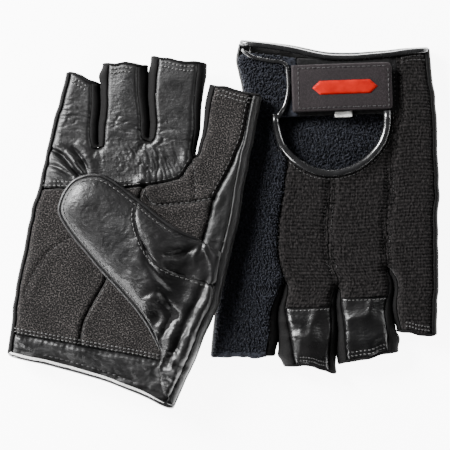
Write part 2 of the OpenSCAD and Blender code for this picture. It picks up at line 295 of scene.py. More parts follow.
def palm_relief(p):
    x, y = p[:, 0], p[:, 1]
    leather = smooth(y, 90, 100) * smooth(84 - x, 0, 8)
    z = 0.75 * (noise(x / 24, y / 24, 1) - 0.5) + 0.16 * (noise(x / 8, y / 8, 2) - 0.5)
    z += leather * (0.5 * (noise(x / 12, y / 10, 3) - 0.5) - knuckle_lines(p))
    z += leather * 0.9 * (bell(x - 34, 8) + 0.3 * bell(x - 62, 9)) * smooth(y, 118, 140)
    for k, c in enumerate(CROTCH):
        z += leather * 0.7 * folds(p, c, 7, 9, 10 + k)
    # The bunched leather above the double seam at the little-finger edge, and the pit beside it
    z += 3.0 * (ridge(noise(x / 15 + 0.3, y / 6.5, 21)) - 0.5) * bell(x - 8, 14) * bell(y - 102, 8)
    for path, depth in zip(BUNCHED, (2.6, 1.8, 1.6)):
        z += deep_fold(p, path, depth)
    # Folds where the thumb is set in, and the gathers at the wrist beside it
    z += 1.5 * folds(p, (90, 79), 6, 15, 22)
    z += 1.1 * folds(p, (80, 13), 5, 17, 23)
    z += 0.8 * (ridge(noise(x / 5 + y / 30, y / 30, 24)) - 0.45) * bell(x - 95, 9) * bell(y - 34, 24)
    # The wrinkled band over the elastic
    band = smooth(14 - y, 0, 3)
    z += band * (1.0 * (ridge(noise(x / 13 + y / 9, y / 4.0, 25)) - 0.45)
                 + 0.35 * (noise(x / 5, y / 3.4, 26) - 0.5) - 0.3 * creases(x / 9, y / 2.6, 27))
    for path, depth in ((PALM_SEAM, 0.7), (INDEX_SEAM, 0.8), (HEEL_SEAM, 0.55), (INDEX_LINE, 0.5),
                        (SIDE_LOW[16:], 0.9), (SIDE_HIGH, 0.9), (PAD_SEAM, 0.6), (QUILT, 0.6)):
        z += seam(p, path, depth)
    z += seam(p, BAND, 0.9, 1.6, 0.2, 0.5)
    return z


def back_relief(p):
    x, y = p[:, 0], p[:, 1]
    z = 0.8 * (noise(x / 23, y / 27, 31) - 0.5) + 0.4 * (noise(x / 10, y / 12, 32) - 0.5)
    patches = smooth(y, 127, 131) * smooth(x, 22, 26) * smooth(78 - x, 0, 4)
    z += patches * 2.0 * (ridge(noise(x / 9, y / 9, 33)) - 0.5)
    z += 3.0 * bell(x - 33, 8.5) * bell(y - 146, 12) + 3.0 * bell(x - 60, 10) * bell(y - 152, 13)
    for k, c in enumerate(CROTCH):
        z += 0.8 * folds(p, c, 6, 11, 40 + k)
    for path, width in ((RIB_MID, 1.9), (RIB_LITTLE, 1.7)):
        d, s = distance(p, path)
        z -= 1.15 * bell(d - width, 0.8) + 0.12 * np.cos(2 * np.pi * s / 2.2) * bell(d - width, 1.2)
    z += seam(p, TERRY_SEAM, 1.0, 1.0, 0.08, 0.25)
    z += seam(p, vent_arc(0, 180), 0.3, 1.4, 0.15, 0.8)
    return z


class Hand:
    """One glove: its name, its place in the shared frame, and how far its fingers fan out."""

    def __init__(self, side):
        self.side = side
        strap, thumb = joints[f"{side}_strap_peel"], joints[f"{side}_thumb_fold"]
        up = np.array(strap["axis"], float)
        lean = np.array(thumb["axis"], float)
        right = lean - (lean @ up) * up
        right /= np.linalg.norm(right)
        out = np.cross(right, up) * (1 if side == "left" else -1)
        self.axes = np.stack([right, up, out])
        anchor = np.array([STRAP_END[0], STRAP_END[1] + STRAP_SIZE[1] / 2, THICK + 1.65])
        self.origin = np.array(strap["pos_m"], float) * 1000 - anchor @ self.axes
        self.mirrored = side == "right"
        self.fan = FAN[side]

    def name(self, part):
        return f"{self.side}_{part}"

    def place(self, points):
        """Points of the glove's frame in the shared frame, in metres."""
        return (np.asarray(points, float) @ self.axes + self.origin) / 1000

    def fanned(self, p):
        q = np.array(p, float)
        x, y = q[:, 0].copy(), q[:, 1].copy()
        q[:, 0] = x * (1 + self.fan * np.clip((y - 45) / 110, 0, 1))
        calm = smooth(np.hypot(x - 45, (y - 20) * 1.6), 24, 44)
        q[:, 0] += calm * (1.5 * (noise(x / 60, y / 15, 81) - 0.5) + 0.7 * (noise(x / 30, y / 6, 82) - 0.5))
        q[:, 1] += calm * 1.1 * (noise(x / 11, y / 50, 83) - 0.5)
        q[:, 1] += 1.7 * (noise(x / 4.5, y / 60, 84) - 0.5) * smooth(y, 134, 152)
        if self.side == "left":
            # This glove lies less neatly: its wrist flares and its middle fingers lean together
            q[:, 1] += (3.0 * bell(x - 48, 30) + 2.0 * smooth(x, 70, 91)) * smooth(10 - y, 0, 12)
            q[:, 0] += 8.0 * smooth(24 - y, 0, 26) * smooth(x, 78, 92)
            q[:, 0] -= 3.0 * bell(y - 121, 10) * smooth(x, 14, 22) * smooth(96 - x, 0, 10)
            q[:, 0] += 5.5 * bell(x - 44, 13) * smooth(y, 132, 162)
            q[:, 0] += 2.5 * smooth(x, 90, 104) * smooth(y, 100, 150)
            q[:, 1] -= 4.6 * smooth(x, 40, 72) * smooth(75.8 - x, 0, 1.5) * smooth(y, 140, 166)
            q[:, 1] += 2.0 * bell(x - 43, 8) * smooth(y, 140, 162)
        return q

    def skin(self, p, side, proud=0.0):
        """Points on the outer skin over the plan points p: side is -1 on the palm, 1 on the back."""
        d = np.min([distance(p, path)[0] for path in CLOSED], axis=0)
        round_edge = np.sqrt(1 - (1 - np.clip(d / EDGE_R, 0, 1)) ** 2)
        relief = palm_relief(p) if side < 0 else back_relief(p)
        h = half_thickness(p) * round_edge + relief * np.clip(d / 3.5, 0, 1)
        down = self.side == "left" and side < 0
        if down:    # the palm that the glove lies on is pressed flat
            h = np.minimum(half_thickness(p) * round_edge + 0.25 * relief, THICK / 2 - 0.35)
        if self.side == "right" and side > 0:
            h = np.minimum(h, THICK / 2 - 0.1)
        z = THICK / 2 + side * (h + np.asarray(proud))
        q = self.fanned(p)
        return np.column_stack([q, z])


# ---------------------------------------------------------------- meshes
def add_object(hand, part, verts, faces, body, material, nodes=(), slot=None, uv=None, flip=False,
               thick=None):
    """A mesh object from points in the glove's frame; it rides on a body, or on none if no body is given."""
    name = hand.name(part)
    if flip != hand.mirrored:
        faces = [tuple(reversed(f)) for f in faces]
    mesh = bpy.data.meshes.new(name)
    mesh.from_pydata(hand.place(verts).tolist(), [], [tuple(int(i) for i in f) for f in faces])
    mesh.update()
    layer = mesh.uv_layers.new(name="cloth")
    plan = (np.asarray(verts)[:, :2] if uv is None else uv) / 100
    index = np.empty(len(mesh.loops), int)
    mesh.loops.foreach_get("vertex_index", index)
    layer.data.foreach_set("uv", plan[index].ravel())
    mesh.polygons.foreach_set("use_smooth", [True] * len(mesh.polygons))
    mesh.materials.append(material)
    ob = bpy.data.objects.new(name, mesh)
    bpy.context.scene.collection.objects.link(ob)
    if body is not None:
        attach(ob, hand.name(body))
    if nodes:
        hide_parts(*[hand.name(n) for n in nodes])
    if thick:
        solid = ob.modifiers.new("thickness", "SOLIDIFY")
        solid.thickness = thick / 1000
        solid.offset = -1
        solid.use_rim = True
    return ob


def fill(outline, step, row=None):
    """Triangles over an outline: points a step apart, with rows a given distance apart if stated."""
    row = row or step * 0.87
    edge = evenly(np.vstack([outline, outline[:1]]), min(step, 1.2))[:-1]
    low, high = edge.min(0), edge.max(0)
    rows = np.arange(math.ceil(low[1] / row), math.floor(high[1] / row) + 1)
    shift = step / 2 if row > 0.6 * step else 0.0   # close rows stand in straight columns
    grid = np.array([(x + (shift if j % 2 else 0), j * row)
                     for j in rows for x in np.arange(low[0], high[0] + step, step)])
    grid = grid[inside(grid, edge)]
    near = distance(grid, np.vstack([edge, edge[:1]]))[0]
    grid = grid[near > 0.35 * min(step, 1.2)]
    pts = np.vstack([edge, grid])
    out = delaunay_2d_cdt([Vector(p) for p in pts], [], [list(range(len(edge)))], 1, 1e-6)
    plan = np.array([tuple(v) for v in out[0]])
    faces = [tuple(f) for f in out[2]]
    near = distance(plan, np.vstack([edge, edge[:1]]))[0]
    return plan, faces, near


def tube(path, radius, sides=10, closed=False):
    """A tube along 3-D points."""
    n = len(path)
    t = np.gradient(path, axis=0)
    if closed:
        t = np.roll(path, -1, axis=0) - np.roll(path, 1, axis=0)
    t /= np.maximum(np.linalg.norm(t, axis=1, keepdims=True), 1e-9)
    up = np.tile([0.0, 0.0, 1.0], (n, 1))
    a = np.cross(t, up)
    bad = np.linalg.norm(a, axis=1) < 0.05
    a[bad] = np.cross(t[bad], [0.0, 1.0, 0.0])
    a /= np.linalg.norm(a, axis=1, keepdims=True)
    b = np.cross(a, t)
    angles = np.linspace(0, 2 * np.pi, sides, endpoint=False)
    r = np.broadcast_to(np.reshape(radius, (-1, 1)), (n, 1))
    verts = np.concatenate([path[:, None] + r[:, None] * (np.cos(angles)[None, :, None] * a[:, None]
                            + np.sin(angles)[None, :, None] * b[:, None])]).reshape(-1, 3)
    faces = []
    for i in range(n if closed else n - 1):
        j = (i + 1) % n
        for k in range(sides):
            m = (k + 1) % sides
            faces.append((i * sides + k, i * sides + m, j * sides + m, j * sides + k))
    if not closed:
        faces.append(tuple(range(sides))[::-1])
        faces.append(tuple((n - 1) * sides + k for k in range(sides)))
    return verts, faces


def add_tube(hand, part, path, radius, sides, turn, body, material, nodes=(), slot=None, closed=False):
    """A tube along 3-D points as an object; its cloth plan runs along it and round it."""
    v, f = tube(path, radius, sides, closed)
    uv = np.column_stack([np.repeat(along(path), sides), np.tile(np.arange(sides) * turn, len(path))])
    return add_object(hand, part, v, f, body, material, nodes, slot, uv)


def gather(parts):
    """Several meshes as one."""
    verts, faces, base = [], [], 0
    for v, f in parts:
        verts.append(v)
        faces += [tuple(i + base for i in q) for q in f]
        base += len(v)
    return np.vstack(verts), faces


# Stitches: how far apart they start, how long they are and the radius of the thread
PALM_STITCH = (2.2, 1.6, 0.3)
PALM_END_STITCH = (2.0, 1.4, 0.32)
BACK_STITCH = (2.2, 1.5, 0.2)
WRIST_STITCH = (2.2, 1.5, 0.22)
BACK_END_STITCH = (1.5, 1.0, 0.34)
PATCH_STITCH = (1.9, 1.2, 0.3)
STRAP_STITCH = (2.6, 1.7, 0.24)
THUMB_STITCH = (2.6, 1.8, 0.26)
THUMB_EDGE_STITCH = (2.6, 1.8, 0.22)
STITCH_RINGS = ((0.0, 0.35), (0.12, 0.9), (0.5, 1.1), (0.88, 0.9), (1.0, 0.35))


def stitch_row(surface, path, offset=0.0, pitch=2.9, length=2.0, r=0.27):
    """Thread stitches along a path on a surface, each a small rounded bar that dips at its ends."""
    line = evenly(beside(evenly(path, 1.0), offset) if offset else path, pitch / 8)
    s = along(line)
    starts = np.arange(pitch / 2, s[-1] - length, pitch)
    at = lambda v: np.stack([np.interp(v, s, line[:, k]) for k in range(2)], axis=1)
    if len(starts) == 0:
        return np.zeros((0, 3)), []
    a, b = surface(at(starts)), surface(at(starts + length))
    middle = surface(at(starts + length / 2))
    t = (b - a) / np.maximum(np.linalg.norm(b - a, axis=1, keepdims=True), 1e-9)
    side = np.cross(t, [0.0, 0.0, 1.0])
    side /= np.maximum(np.linalg.norm(side, axis=1, keepdims=True), 1e-9)
    up = np.cross(side, t)
    angles = np.linspace(0, 2 * np.pi, 6, endpoint=False)
    rings = []
    for u, w in STITCH_RINGS:
        centre = (1 - u) ** 2 * a + 2 * u * (1 - u) * (2 * middle - (a + b) / 2) + u**2 * b
        rings.append(centre[:, None] + r * w * (np.cos(angles)[None, :, None] * side[:, None]
                                                + np.sin(angles)[None, :, None] * up[:, None]))
    verts = np.stack(rings, axis=1).reshape(-1, 3)
    faces = []
    for n in range(len(starts)):
        o = n * 30
        for i in range(4):
            for k in range(6):
                m = (k + 1) % 6
                faces.append((o + i * 6 + k, o + i * 6 + m, o + i * 6 + 6 + m, o + i * 6 + 6 + k))
        faces.append(tuple(o + k for k in range(6))[::-1])
        faces.append(tuple(o + 24 + k for k in range(6)))
    return verts, faces


def towel_loops(surface, outline, spacing, seed, height=1.15, r=0.24, keep=None):
    """Loops of yarn standing on a surface: small arches that point every way."""
    rng = np.random.default_rng(seed)
    low, high = outline.min(0), outline.max(0)
    gx = np.arange(low[0], high[0], spacing)
    gy = np.arange(low[1], high[1], spacing * 0.9)
    p = np.array([(x + (spacing / 2 if j % 2 else 0), y) for j, y in enumerate(gy) for x in gx])
    p = p + rng.uniform(-0.38, 0.38, p.shape) * spacing * [0.7, 1.2]
    p = p[inside(p, outline)]
    if keep is not None:
        p = p[keep(p)]
    angle = np.pi / 2 + rng.normal(0, 0.75, len(p))    # the loops stand in wales
    tall = height * rng.uniform(0.7, 1.25, len(p))
    width = spacing * rng.uniform(0.32, 0.5, len(p))
    lean = rng.normal(0, 0.35, (len(p), 2))
    base = surface(p)
    outward = np.sign(surface(p, 1.0)[:, 2] - base[:, 2])
    d = np.stack([np.cos(angle), np.sin(angle), np.zeros(len(p))], axis=1)
    bend = np.radians([-80, -45, 0, 45, 80])
    verts = []
    for i, a in enumerate(bend):
        centre = base + d * (width * math.sin(a))[:, None]
        centre[:, 2] += outward * tall * (math.cos(a) - 0.35)
        centre[:, :2] += lean * math.cos(a) * 0.8
        t = d * math.cos(a) + np.outer(-outward * math.sin(a), [0, 0, 1])
        n1 = np.cross(d, [0.0, 0.0, 1.0])
        n2 = np.cross(n1, t)
        for k in range(4):
            c, s = math.cos(k * math.pi / 2), math.sin(k * math.pi / 2)
            verts.append(centre + r * (c * n1 + s * n2))
    verts = np.stack(verts, axis=1).reshape(-1, 3)
    faces = [(o + i * 4 + k, o + i * 4 + (k + 1) % 4, o + i * 4 + 4 + (k + 1) % 4, o + i * 4 + 4 + k)
             for o in range(0, len(p) * 20, 20) for i in range(4) for k in range(4)]
    return verts, faces


# ---------------------------------------------------------------- materials
class Shader:
    """A short way to build a node material whose pattern follows the cloth's own plan."""

    def __init__(self, name, color, roughness, **sockets):
        self.material = bpy.data.materials.new(name)
        self.material.use_nodes = True
        self.tree = self.material.node_tree
        self.bsdf = self.tree.nodes["Principled BSDF"]
        self.bsdf.inputs["Base Color"].default_value = (*color, 1)
        self.bsdf.inputs["Roughness"].default_value = roughness
        for socket, value in sockets.items():
            self.bsdf.inputs[socket.replace("_", " ")].default_value = value
        self.uv = self.add("ShaderNodeUVMap")
        self.uv.uv_map = "cloth"

    def add(self, kind, **inputs):
        node = self.tree.nodes.new(kind)
        for k, v in inputs.items():
            node.inputs[k.replace("_", " ")].default_value = v
        return node

    def link(self, a, b):
        self.tree.links.new(a, b)

    def grain(self, scale, detail=2.0, stretch=(1, 1), kind="noise"):
        """A pattern whose size is 1 / scale of a decimetre, stretched along the cloth's axes."""
        mapping = self.add("ShaderNodeMapping")
        mapping.inputs["Scale"].default_value = (*stretch, 1)
        self.link(self.uv.outputs["UV"], mapping.inputs["Vector"])
        if kind == "noise":
            node = self.add("ShaderNodeTexNoise", Scale=scale, Detail=detail)
            out = node.outputs["Fac"]
        else:
            node = self.add("ShaderNodeTexVoronoi", Scale=scale)
            out = node.outputs["Distance"]
        self.link(mapping.outputs["Vector"], node.inputs["Vector"])
        return out

    def ramp(self, value, *stops):
        node = self.add("ShaderNodeValToRGB")
        while len(node.color_ramp.elements) < len(stops):
            node.color_ramp.elements.new(0.5)
        for element, (pos, color) in zip(node.color_ramp.elements, stops):
            element.position = pos
            element.color = (*color, 1) if isinstance(color, tuple) else (color, color, color, 1)
        self.link(value, node.inputs["Fac"])
        return node.outputs["Color"]

    def multiply(self, a, b):
        node = self.add("ShaderNodeMix")
        node.data_type = "RGBA"
        node.blend_type = "MULTIPLY"
        node.inputs[0].default_value = 1.0
        self.link(a, node.inputs[6])
        self.link(b, node.inputs[7])
        return node.outputs[2]

    def bump(self, height, strength, distance, after=None):
        node = self.add("ShaderNodeBump", Strength=strength, Distance=distance / 1000)
        self.link(height, node.inputs["Height"])
        if after is not None:
            self.link(after, node.inputs["Normal"])
        return node.outputs["Normal"]

    def done(self, color=None, roughness=None, normal=None):
        for value, socket in ((color, "Base Color"), (roughness, "Roughness"), (normal, "Normal")):
            if value is not None:
                self.link(value, self.bsdf.inputs[socket])
        return self.material


def leather_material(name, tint=1.0, rough=(0.35, 0.55)):
    """Nappa leather: fine pebbled grain, worn paler and smoother in broad patches."""
    s = Shader(name, (0.012, 0.012, 0.013), 0.4, Specular_IOR_Level=0.42, Coat_Weight=0.06,
               Coat_Roughness=0.35)
    broad = s.grain(5, 3)
    color = s.ramp(broad, (0.3, (0.0022 * tint, 0.0022 * tint, 0.0024 * tint)),
                   (0.75, (0.0085 * tint, 0.0080 * tint, 0.0082 * tint)))
    rough_value = s.ramp(s.grain(16, 4), (0.3, rough[0]), (0.75, rough[1]))
    fine = s.bump(s.grain(150, 2, kind="cells"), 0.35, 0.10)
    normal = s.bump(s.grain(40, 5, (1, 1.6)), 0.75, 0.36, fine)
    return s.done(color, rough_value, normal)


def suede_material():
    """Napped synthetic suede: a salt-and-pepper speckle with brushed lighter and darker areas."""
    s = Shader("suede", (0.025, 0.022, 0.021), 0.93, Sheen_Weight=0.08, Sheen_Roughness=0.5,
               Specular_IOR_Level=0.08)
    speck = s.ramp(s.grain(140, 3), (0.38, (0.0022, 0.0020, 0.0019)), (0.52, (0.0140, 0.0126, 0.0121)),
                   (0.67, (0.080, 0.0725, 0.0700)))
    brushed = s.ramp(s.grain(7, 3), (0.25, 0.50), (0.75, 1.0))
    normal = s.bump(s.grain(120, 3), 0.7, 0.35)
    return s.done(s.multiply(speck, brushed), None, normal)


def towel_material():
    s = Shader("towelling", (0.005, 0.0055, 0.008), 0.9, Sheen_Weight=0.10, Sheen_Roughness=0.4,
               Specular_IOR_Level=0.10)
    yarn = s.ramp(s.grain(60, 3), (0.3, (0.0030, 0.0033, 0.0046)), (0.72, (0.0290, 0.0315, 0.0410)))
    return s.done(yarn, None, s.bump(s.grain(140, 2), 0.6, 0.25))


def rib_material():
    """Stretch knit: the ribs are in the mesh, the small stitches and the fuzz in the material."""
    s = Shader("rib_fabric", (0.005, 0.0046, 0.0046), 0.88, Sheen_Weight=0.04, Sheen_Roughness=0.5,
               Specular_IOR_Level=0.08)
    fuzz = s.ramp(s.grain(80, 3, (1.6, 0.8)), (0.38, (0.0010, 0.0009, 0.0009)),
                  (0.66, (0.0180, 0.0162, 0.0160)))
    knit = s.grain(75, 0, (1, 0.35), "cells")
    return s.done(fuzz, None, s.bump(knit, 0.9, 0.4))


def plain_fabric(name, dark, light, scale=110, rough=0.8, sheen=0.2):
    s = Shader(name, dark, rough, Sheen_Weight=sheen, Specular_IOR_Level=0.12)
    color = s.ramp(s.grain(scale, 3), (0.35, dark), (0.7, light))
    return s.done(color, None, s.bump(s.grain(scale * 1.3, 2), 0.4, 0.18))


def glossy_material():
    s = Shader("gloss_trim", (0.004, 0.004, 0.0044), 0.2, Specular_IOR_Level=0.8, Coat_Weight=0.5,
               Coat_Roughness=0.12)
    color = s.ramp(s.grain(12, 2), (0.3, (0.005, 0.005, 0.0055)), (0.8, (0.013, 0.013, 0.0135)))
    return s.done(color, s.ramp(s.grain(30, 3), (0.3, 0.20), (0.8, 0.34)),
                  s.bump(s.grain(60, 3), 0.25, 0.15))


def webbing_material():
    """Coated strap: a close weave, grey-brown, with painted shade: the weave's hollows are painted darker
    than its crowns.
    """
    s = Shader("webbing", (0.024, 0.0195, 0.021), 0.75, Specular_IOR_Level=0.15)
    weave = s.grain(170, 1, (1, 1), "cells")
    # Painted shade: the cell edges, which are the weave's hollows, are darker than the cell centres
    color = s.ramp(weave, (0.1, (0.0330, 0.0270, 0.0290)), (0.6, (0.0160, 0.0130, 0.0140)))
    worn = s.ramp(s.grain(14, 4), (0.3, 0.8), (0.8, 1.0))
    return s.done(s.multiply(color, worn), None, s.bump(weave, -0.6, 0.15))


def thread_material(name, color):
    s = Shader(name, color, 0.45, Sheen_Weight=0.2, Specular_IOR_Level=0.5)
    tone = s.ramp(s.grain(200, 1), (0.3, tuple(c * 0.6 for c in color)), (0.7, color))
    return s.done(tone, None, s.bump(s.grain(300, 1, (1, 1)), 0.4, 0.08))


M = {
    "leather": leather_material("leather", 0.75),
    "thumb_leather": leather_material("thumb_leather", 1.0, (0.33, 0.48)),
    "patch": leather_material("patch_leather", 0.9, (0.24, 0.42)),
    # A darker copy of the palm leather for the radial side wall: its darker base is painted shade
    "side": leather_material("side_leather", 0.55, (0.46, 0.62)),
    # Near-white thread for the strip along the cuff hem: a painted highlight of the glossy binding's bright
    # edge
    "welt_highlight": thread_material("welt_painted_highlight", (0.85, 0.84, 0.82)),
    "suede": suede_material(),
    "towel": towel_material(),
    "rib": rib_material(),
    "gusset": plain_fabric("gusset_fabric", (0.0012, 0.0012, 0.0013), (0.0060, 0.0056, 0.0056), 130, 0.8,
                           0.02),
    "loop": plain_fabric("loop_fabric", (0.002, 0.002, 0.002), (0.010, 0.0095, 0.010), 60, 0.95, 0.08),
    "elastic": plain_fabric("elastic", (0.006, 0.006, 0.006), (0.02, 0.02, 0.02), 40, 0.8, 0.05),
    "gloss": glossy_material(),
    "webbing": webbing_material(),
    "hooks": plain_fabric("hook_plastic", (0.004, 0.004, 0.004), (0.008, 0.008, 0.008), 50, 0.5, 0.0),
    "badge": plain_fabric("badge_red", (0.30, 0.006, 0.003), (0.42, 0.010, 0.005), 20, 0.42, 0.0),
    # White cloth for the tab under the strap's edge: a painted highlight of the glossy edge there
    "label": plain_fabric("label_white", (0.62, 0.61, 0.58), (0.85, 0.84, 0.81), 130, 0.8, 0.2),
    "thread": thread_material("thread", (0.036, 0.035, 0.034)),
    # A darker copy of the same black thread: painted shade for the stitches that lie along seam grooves
    "thread_painted_shade": thread_material("thread_painted_shade", (0.010, 0.0095, 0.0095)),
    "thread_grey": thread_material("thread_grey", (0.0060, 0.0052, 0.0055)),
}


# ---------------------------------------------------------------- glove panels
def panel(hand, part, outline, side, material, step=1.15, row=None, slot=None, dip=0.7,
          extra=None):
    """A panel of the glove over its outline, its cut edges turned down into the seams."""
    plan, faces, near = fill(outline, step, row)
    proud = -dip * bell(near, 0.8)
    if extra is not None:
        proud = proud + extra(plan)
    verts = hand.skin(plan, side, proud)
    return add_object(hand, part + "_skin", verts, faces, "glove", material, [part], slot, plan,
                      flip=side < 0, thick=CLOTH)


def ribbon(hand, path, palm_w, back_w, bulge=0.0):
    """A strip that wraps a closed edge, from the palm side to the back, and may swell out of it."""
    inward = beside(path, -1.0) - path
    half = np.linspace(0, 1, RIBBON_STEPS) ** 1.4
    t = np.r_[-half[::-1], half[1:]]
    rows = []
    for v in t:
        w = np.reshape(palm_w if v < 0 else back_w, (-1, 1))
        side = -1 if v < 0 else 1
        q = hand.skin(path + inward * w * abs(v), side, -0.5 * bell(1 - abs(v), 0.15))
        q[:, :2] -= inward * np.reshape(bulge, (-1, 1)) * (1 - abs(v)) ** 0.5
        rows.append(q)
    n, m = len(path), len(t)
    verts = np.stack(rows, axis=1).reshape(-1, 3)
    faces = [(i * m + k, i * m + k + 1, (i + 1) * m + k + 1, (i + 1) * m + k)
             for i in range(n - 1) for k in range(m - 1)]
    uv = np.stack([np.repeat(along(path), m), np.tile(t * 6, n)], axis=1)
    return verts, faces, uv


def gussets(hand):
    names = ("gusset_little_ring", "gusset_ring_middle", "gusset_middle_index")
    for k, part in enumerate(names):
        path, palm_w, _, middle = flange(k, -1)
        back_w = flange(k, 1)[1]
        left, right = path[:middle], path[middle:]
        half_gap = np.r_[distance(left, right)[0], distance(right, left)[0]] / 2
        closed_slit = k < 2 or hand.side == "left"
        swell = np.clip(half_gap + 0.3, 0, 3.2) if closed_slit else np.clip(half_gap, 0, 0.5)
        s = along(path)
        swell = swell * smooth(np.minimum(s, s[-1] - s), 0, 9)
        verts, faces, uv = ribbon(hand, path, palm_w, back_w, bulge=swell)
        add_object(hand, part + "_strip", verts, faces, "glove", M["gusset"],
                        [part], "gusset_fabric", uv, thick=WALL)
    path = evenly(ULNAR, 1.3)[::-1]
    verts, faces, uv = ribbon(hand, path, np.full(len(path), -1.7), np.full(len(path), -1.7))
    add_object(hand, "ulnar_gusset_strip", verts, faces, "glove", M["gusset"],
                    ["ulnar_gusset"], "gusset_fabric", uv, thick=WALL)


ULNAR_IN = beside(evenly(ULNAR, 1.2), -1.7)
RADIAL_PALM = beside(evenly(RADIAL, 1.2), 4.0)
RADIAL_BACK = beside(evenly(RADIAL, 1.2), 0.5)


def between(path, low, high):
    """The part of a path that climbs from one y to another."""
    return path[(path[:, 1] >= low) & (path[:, 1] <= high)]


def finger_ends(side):
    """Both ends of each finger's cut edge, from the little finger, on the palm (-1) or the back (1)."""
    starts = [ULNAR_IN[-1]] + [flange_right(k, side)[-1] for k in range(3)]
    return list(zip(starts, [flange_left(k, side)[-1] for k in range(3)] + [RADIAL[-1]]))


def palm(hand):
    fingers = join(
        PALM_SEAM, INDEX_SEAM, flange_left(2, -1)[1:], flange_right(1, -1)[::-1],
        flange_left(1, -1), flange_right(0, -1)[::-1], flange_left(0, -1),
        between(ULNAR_IN, 88.5, 160)[::-1])
    panel(hand, "palm_leather", fingers, -1, M["leather"], 0.62 if hand.side == "right" else 1.1,
          slot="leather")
    index = join(HEEL_SEAM[::-1], INDEX_SEAM, flange_right(2, -1)[1:], SIDE_HIGH[::-1])
    panel(hand, "index_palm_suede", index, -1, M["suede"], 1.3, slot="suede")
    outer = join([(2.3, 11)], PAD_SEAM, PALM_SEAM[::-1][:-6], between(ULNAR_IN, 11.5, 87.5)[::-1])
    pad = panel(hand, "heel_pad_outer", outer, -1, M["suede"], 1.3, slot="suede")
    inner = join([(75, 13)], SIDE_LOW, HEEL_SEAM[::-1], PAD_SEAM[::-1])
    pad = panel(hand, "heel_pad_inner", inner, -1, M["suede"], 1.3, slot="suede")
    side = join(between(RADIAL_PALM, 12, 158), SIDE_HIGH[::-1], SIDE_LOW[::-1])
    plan, faces, near = fill(side, 1.1)
    a = hand.skin(plan, -1, -0.6 * bell(near, 0.8)), [tuple(reversed(f)) for f in faces]
    path = evenly(RADIAL, 1.2)
    path = path[path[:, 1] > -8.6]
    v, f, _ = ribbon(hand, path[::-1], np.full(len(path), 4.0), np.full(len(path), 0.5))
    verts, faces = gather([a, (v, f)])
    # The side wall takes the darker copy of the leather, as painted shade
    add_object(hand, "side_leather_skin", verts, faces, "glove", M["side"],
                    ["side_leather"], "leather", thick=CLOTH)
    band = join(between(ULNAR_IN, 1, 11), BAND[2:], between(RADIAL_PALM, -9, 12)[::-1],
                (HEM - [0, 0.4])[::-1])
    panel(hand, "cuff_band", band, -1, M["leather"], 1.0, slot="leather")


def ribs(p):
    """The knit's ribs run across the back, about 1.7 mm apart, a little uneven."""
    high = 0.12 + 0.26 * noise(p[:, 0] / 2.3, p[:, 1] / 1.7, 85)
    return high * np.cos(2 * np.pi * (p[:, 1] + 0.6 * np.sin(p[:, 0] / 9)) / 1.7)


def back(hand):
    terry = join(
        [(70, 33.6)], [(70, 1.5)], curve([(70, 1.5), (80, -0.6), (89.5, -3)]),
        between(RADIAL_BACK, -1, 160), flange_right(2, 1)[::-1], TERRY_SEAM[::-1],
        vent_arc(0, 38.7)[::-1])
    panel(hand, "terry_panel", terry, 1, M["towel"], 1.5, slot="towelling", dip=0.3)
    surface = lambda p, proud=0.0: hand.skin(p, 1, proud)
    fine = hand.side == "left"
    clear = lambda p: ~((p[:, 0] < 76.5) & (p[:, 1] < 33.5))    # flat cloth under the strap's root
    v, f = towel_loops(surface, terry, 1.12 if fine else 1.9, 5, 1.25, 0.27 if fine else 0.4, clear)
    add_object(hand, "terry_pile", v, f, "glove", M["towel"], (), "towelling")
    step, row = (1.4, 0.425) if fine else (1.6, 1.2)
    rib = ribs if fine else None
    middle = join(RIB_MID, clip_y(flange_right(1, 1), PATCH_MIDDLE_Y),
                  clip_y(flange_left(2, 1), PATCH_MIDDLE_Y)[::-1], TERRY_SEAM[::-1],
                  vent_arc(38.7, 88.5))
    panel(hand, "rib_panel_middle", middle, 1, M["rib"], step, row, "rib_fabric", 0.5, rib)
    ring = join([(17.8, 33.6)], between(RIB_LITTLE, 34, 120), clip_y(flange_right(0, 1), PATCH_RING_Y),
                clip_y(flange_left(1, 1), PATCH_RING_Y)[::-1], RIB_MID[::-1],
                vent_arc(90, 180))
    panel(hand, "rib_panel_ring", ring, 1, M["rib"], step, row, "rib_fabric", 0.5, rib)
    little = join([(2.4, 2.2)], between(ULNAR_IN, 3, 160), flange_left(0, 1)[::-1],
                  between(RIB_LITTLE, 2.2, 120)[::-1])
    panel(hand, "rib_panel_little", little, 1, M["rib"], step, row, "rib_fabric", 0.5, rib)
    over = lambda p: np.full(len(p), 0.25)
    cap = join(above_y(flange_right(1, 1), PATCH_MIDDLE_Y), above_y(flange_left(2, 1), PATCH_MIDDLE_Y)[::-1])
    panel(hand, "middle_patch", cap, 1, M["patch"], 1.1, slot="leather", extra=over)
    cap = join(above_y(flange_right(0, 1), PATCH_RING_Y), above_y(flange_left(1, 1), PATCH_RING_Y)[::-1])
    panel(hand, "ring_patch", cap, 1, M["patch"], 1.1, slot="leather", extra=over)
    under = join([(17.8, 2.4)], curve([(17.8, 2.4), (40, 2.0), (70, 1.5)]), [(70, 33.4)], [(17.8, 33.4)])
    panel(hand, "loop_tape", under, 1, M["loop"], 1.4, slot="loop_fabric", dip=0.4)


def clip_y(path, y):
    """A path that climbs, cut off at a height, ending exactly there."""
    below = path[path[:, 1] < y]
    after = path[path[:, 1] >= y]
    if len(below) == 0 or len(after) == 0:
        return below if len(below) else after[:1]
    a, b = below[-1], after[0]
    t = (y - a[1]) / (b[1] - a[1])
    return np.vstack([below, a + t * (b - a)])


def above_y(path, y):
    return path[path[:, 1] >= y - 0.3]


